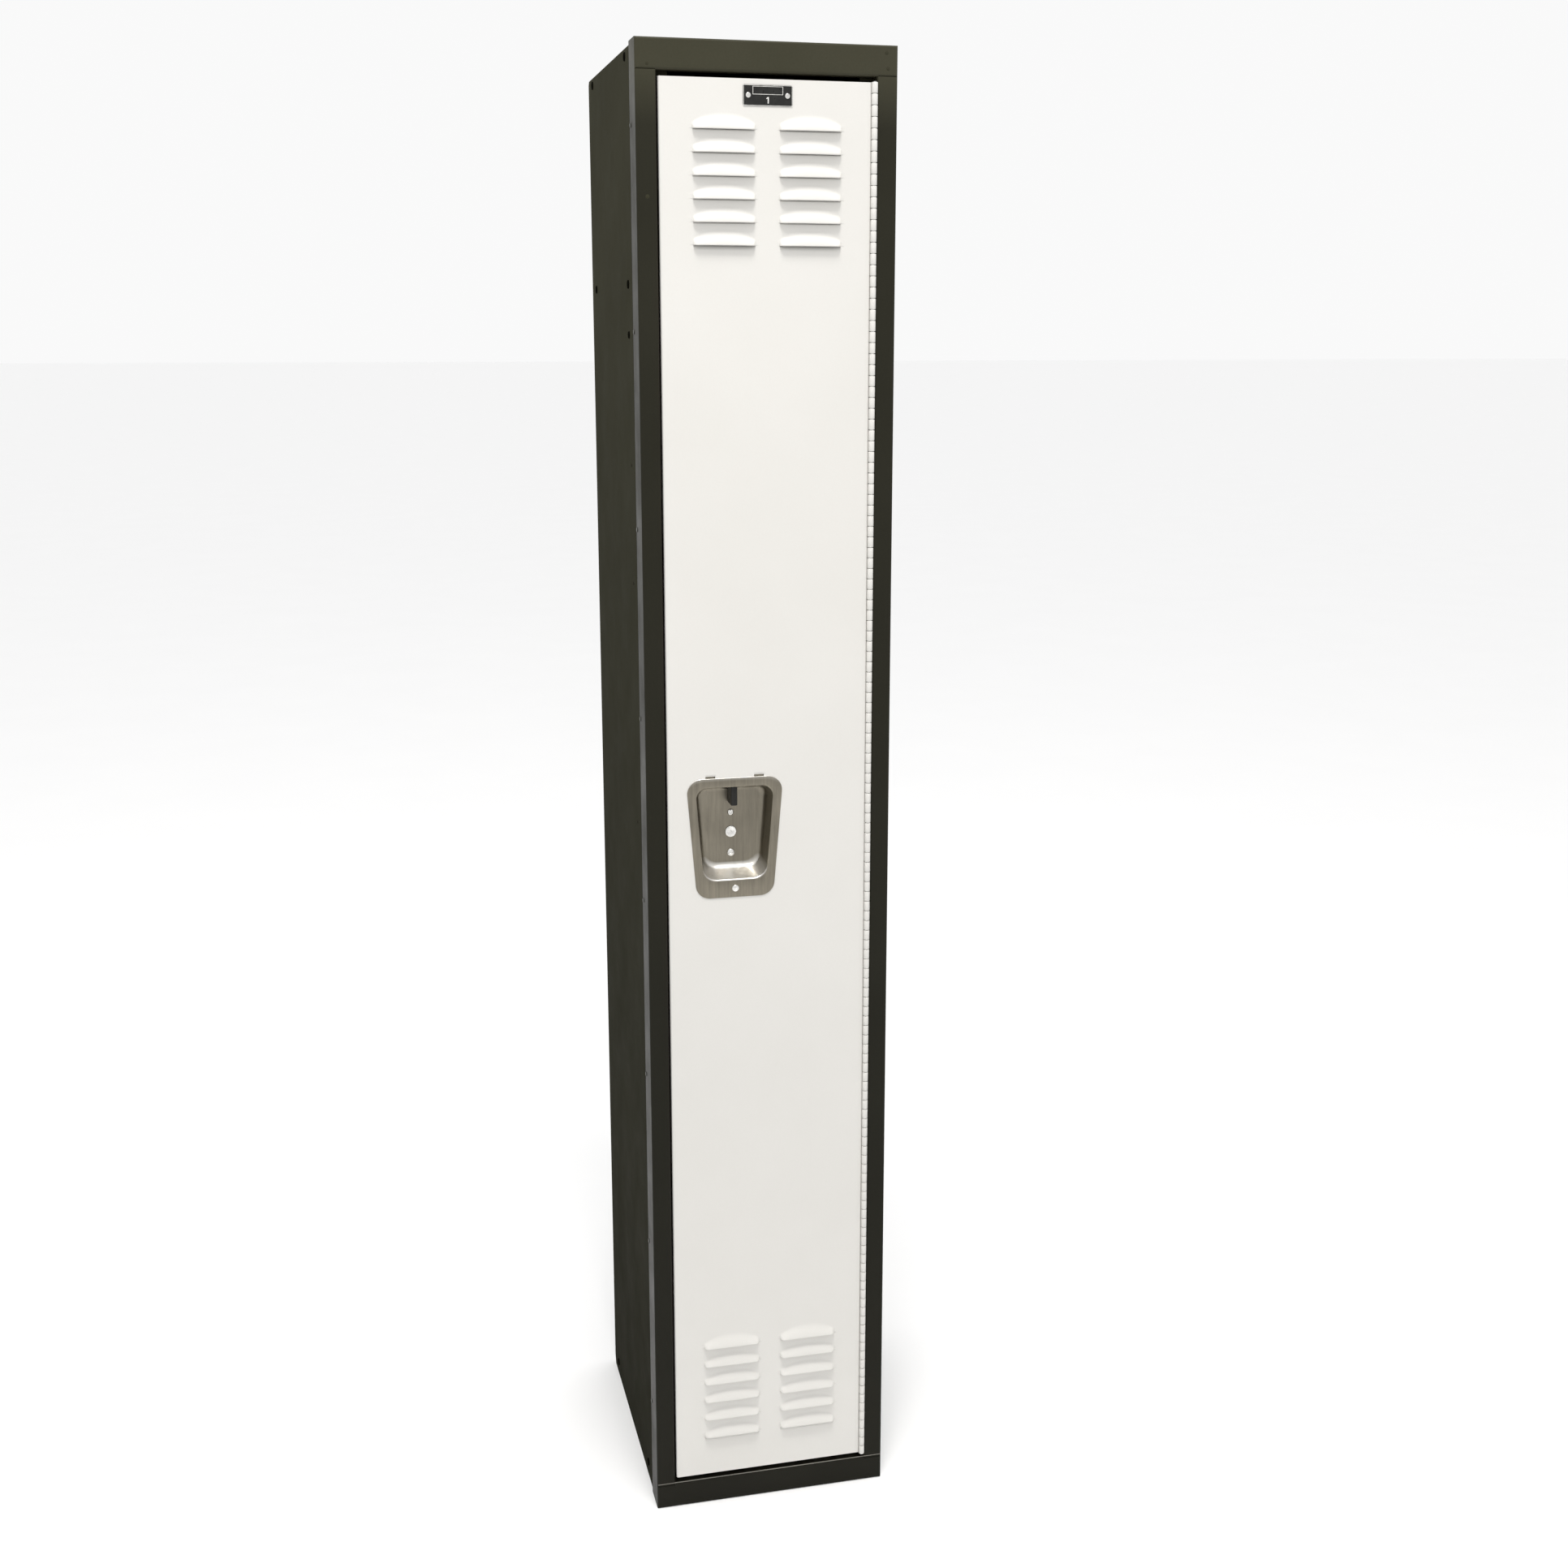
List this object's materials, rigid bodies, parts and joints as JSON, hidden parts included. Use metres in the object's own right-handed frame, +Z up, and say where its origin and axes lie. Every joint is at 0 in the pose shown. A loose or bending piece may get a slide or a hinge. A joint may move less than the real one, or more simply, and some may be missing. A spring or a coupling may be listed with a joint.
{
  "type": "school locker",
  "caption": "Tall narrow single-tier steel locker: dark framed cabinet, light louvred door on a full-height hinge, recessed lift handle, hat shelf and coat hooks.",
  "frame": {"origin": "centre of the footprint on the floor, at the bottom of the cabinet", "axes": "+Z up; -Y out of the door's face; +X to the right seen from the front, which is the hinge side"},
  "size_m": [0.3064, 0.3866, 1.8288],
  "materials": {
    "cabinet_paint": "dark powder coat, satin",
    "door_paint": "warm off-white powder coat, satin",
    "stainless": "drawn stainless steel",
    "bright_steel": "bright nickel-plated steel",
    "zinc_steel": "zinc plate",
    "spring_steel": "blued spring steel",
    "plate_enamel": "black enamelled aluminium",
    "black_plastic": "moulded plastic",
    "nylon": "natural nylon",
    "rubber": "moulded rubber"
  },
  "bodies": {
    "cabinet": {"left_side_panel": "cabinet_paint", "right_side_panel": "cabinet_paint", "back_panel": "cabinet_paint", "top_panel": "cabinet_paint", "bottom_panel": "cabinet_paint", "hat_shelf": "cabinet_paint", "left_upright": "cabinet_paint", "right_upright": "cabinet_paint", "left_strike": "cabinet_paint", "right_strike": "cabinet_paint", "top_rail": "cabinet_paint", "bottom_rail": "cabinet_paint", "lower_frame_hook": "cabinet_paint", "middle_frame_hook": "cabinet_paint", "upper_frame_hook": "cabinet_paint", "silencers": "rubber", "hinge_frame_leaf": "door_paint", "hinge_pin": "zinc_steel", "hinge_rivets": "zinc_steel", "frame_rivets": "cabinet_paint", "seam_rivets": "cabinet_paint", "panel_bolts": "cabinet_paint", "panel_nuts": "zinc_steel", "ceiling_hook": "zinc_steel", "left_wall_hook": "zinc_steel", "right_wall_hook": "zinc_steel", "rear_wall_hook": "zinc_steel", "coat_hook_screws": "cabinet_paint"},
    "door": {"door_panel": "door_paint", "hinge_door_leaf": "door_paint", "handle_pocket": "stainless", "pocket_screws": "bright_steel", "pocket_nuts": "zinc_steel", "lock_hole_cover": "bright_steel", "number_plate": "plate_enamel", "plate_rivets": "bright_steel", "bar_guides": "nylon", "bar_cushion": "rubber"},
    "lock_bar": {"lock_bar": "cabinet_paint", "lower_latch": "spring_steel", "middle_latch": "spring_steel", "upper_latch": "spring_steel", "latch_rivets": "zinc_steel", "slide_plate": "zinc_steel", "lift_trigger": "black_plastic"}
  },
  "joints": [
    {"name": "door_hinge", "type": "hinge", "parent": "cabinet", "child": "door", "pos_m": [0.1251, -0.18775, 0.91425], "axis": [0, 0, 1], "range_deg": [0, 168]},
    {"name": "lock_bar_lift", "type": "slide", "parent": "door", "child": "lock_bar", "axis": [0, 0, 1], "range_m": [-0.008, 0]}
  ]
}
